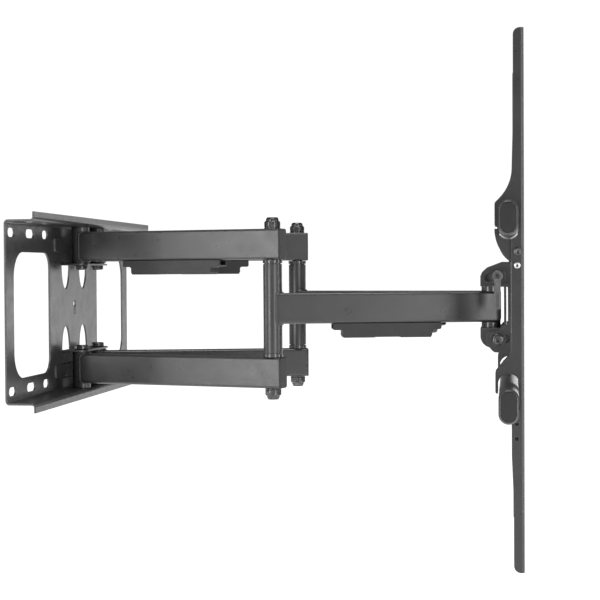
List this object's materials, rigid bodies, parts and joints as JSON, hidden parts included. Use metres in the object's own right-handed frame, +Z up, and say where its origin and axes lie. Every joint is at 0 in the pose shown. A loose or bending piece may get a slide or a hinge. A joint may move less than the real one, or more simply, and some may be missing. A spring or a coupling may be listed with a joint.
{
  "type": "full motion tv wall mount",
  "caption": "Folding twin-arm wall bracket that carries a flat screen on two upright rails and lets it be pulled out, folded flat and tilted.",
  "frame": {"origin": "centre of the wall plate's slot pattern, on its back face at the wall", "axes": "+Z up, +Y into the wall, -Y out towards the screen, X along the wall"},
  "size_m": [0.4904, 0.5314, 0.559],
  "materials": {
    "black_powder_coat": "satin black powder coat",
    "black_plastic": "fine-grained black plastic",
    "dark_fastener": "black zinc plate",
    "bright_zinc": "bright zinc plate",
    "nylon_bearing": "smooth black nylon"
  },
  "bodies": {
    "wall_base": {"wall_plate": "black_powder_coat", "wall_bracket_upper": "black_powder_coat", "wall_bracket_lower": "black_powder_coat", "wall_pivot_bolts": "dark_fastener", "wall_pivot_nuts": "dark_fastener", "wall_pivot_washers": "nylon_bearing"},
    "rear_left": {"rear_tube_upper_left": "black_powder_coat", "rear_tube_lower_left": "black_powder_coat", "rear_pivot_sleeves_left": "dark_fastener", "rear_tube_caps_left": "black_plastic", "rear_cable_cover_left": "black_plastic", "elbow_bolt_left": "dark_fastener", "elbow_washers_left": "dark_fastener", "elbow_nuts_left": "dark_fastener"},
    "front_left": {"front_arm_left": "black_powder_coat", "elbow_bushings_left": "nylon_bearing", "front_pivot_sleeve_left": "dark_fastener", "front_tube_cap_left": "black_plastic", "front_cable_cover_left": "black_plastic"},
    "rail_left": {"rail_left": "black_powder_coat", "rail_latch_pin_left": "dark_fastener", "rail_rivets_left": "bright_zinc"},
    "latch_left": {"rail_latch_left": "black_powder_coat"},
    "rear_right": {"rear_tube_upper_right": "black_powder_coat", "rear_tube_lower_right": "black_powder_coat", "rear_pivot_sleeves_right": "dark_fastener", "rear_tube_caps_right": "black_plastic", "rear_cable_cover_right": "black_plastic", "elbow_bolt_right": "dark_fastener", "elbow_washers_right": "dark_fastener", "elbow_nuts_right": "dark_fastener"},
    "front_right": {"front_arm_right": "black_powder_coat", "elbow_bushings_right": "nylon_bearing", "front_pivot_sleeve_right": "dark_fastener", "front_tube_cap_right": "black_plastic", "front_cable_cover_right": "black_plastic"},
    "rail_right": {"rail_right": "black_powder_coat", "rail_latch_pin_right": "dark_fastener", "rail_rivets_right": "bright_zinc"},
    "latch_right": {"rail_latch_right": "black_powder_coat"},
    "swivel_head": {"swivel_bracket": "black_powder_coat", "head_pivot_bolts": "dark_fastener", "head_pivot_nuts": "dark_fastener", "head_pivot_bushings": "nylon_bearing", "head_pivot_washers": "dark_fastener", "tilt_bolts": "dark_fastener", "tilt_washers": "dark_fastener", "tilt_nuts": "dark_fastener"},
    "tilt_head": {"tilt_bracket": "black_powder_coat", "crossbar_upper": "black_powder_coat", "crossbar_lower": "black_powder_coat", "crossbar_caps": "black_plastic"},
    "lever": {"tilt_lever": "black_plastic"}
  },
  "joints": [
    {"name": "fold_right", "type": "hinge", "parent": "wall_base", "child": "rear_right", "pos_m": [0.032, -0.02, 0], "axis": [0, 0, 1], "range_deg": [-10.9, 68.1]},
    {"name": "elbow_right", "type": "hinge", "parent": "rear_right", "child": "front_right", "pos_m": [0.09086, -0.25783, 0], "axis": [0, 0, 1], "range_deg": [-136.2, 21.8]},
    {"name": "head_right", "type": "hinge", "parent": "front_right", "child": "swivel_head", "pos_m": [0.032, -0.49565, 0], "axis": [0, 0, 1], "range_deg": [-10.9, 68.1]},
    {"name": "fold_left", "type": "hinge", "parent": "wall_base", "child": "rear_left", "pos_m": [-0.032, -0.02, 0], "axis": [0, 0, 1], "range_deg": [-68.1, 10.9]},
    {"name": "elbow_left", "type": "hinge", "parent": "rear_left", "child": "front_left", "pos_m": [-0.09086, -0.25783, 0], "axis": [0, 0, 1], "range_deg": [-21.8, 136.2]},
    {"name": "tilt", "type": "hinge", "parent": "swivel_head", "child": "tilt_head", "pos_m": [0, -0.507, 0], "axis": [1, 0, 0], "range_deg": [-5, 15]},
    {"name": "tilt_lever_turn", "type": "hinge", "parent": "swivel_head", "child": "lever", "pos_m": [-0.0676, -0.5035, 0.035], "axis": [1, 0, 0], "range_deg": [-30, 75]},
    {"name": "rail_slide_left", "type": "slide", "parent": "tilt_head", "child": "rail_left", "axis": [1, 0, 0], "range_m": [-0.05, 0.05]},
    {"name": "latch_turn_left", "type": "hinge", "parent": "rail_left", "child": "latch_left", "pos_m": [-0.15, -0.525, 0.06], "axis": [1, 0, 0], "range_deg": [-20, 0]},
    {"name": "rail_slide_right", "type": "slide", "parent": "tilt_head", "child": "rail_right", "axis": [1, 0, 0], "range_m": [-0.05, 0.05]},
    {"name": "latch_turn_right", "type": "hinge", "parent": "rail_right", "child": "latch_right", "pos_m": [0.15, -0.525, 0.06], "axis": [1, 0, 0], "range_deg": [-20, 0]}
  ],
  "couplings": [
    {"joint": "elbow_right", "follows": "fold_right", "ratio": -2},
    {"joint": "head_right", "follows": "fold_right", "ratio": 1},
    {"joint": "fold_left", "follows": "fold_right", "ratio": -1},
    {"joint": "elbow_left", "follows": "fold_right", "ratio": 2}
  ]
}
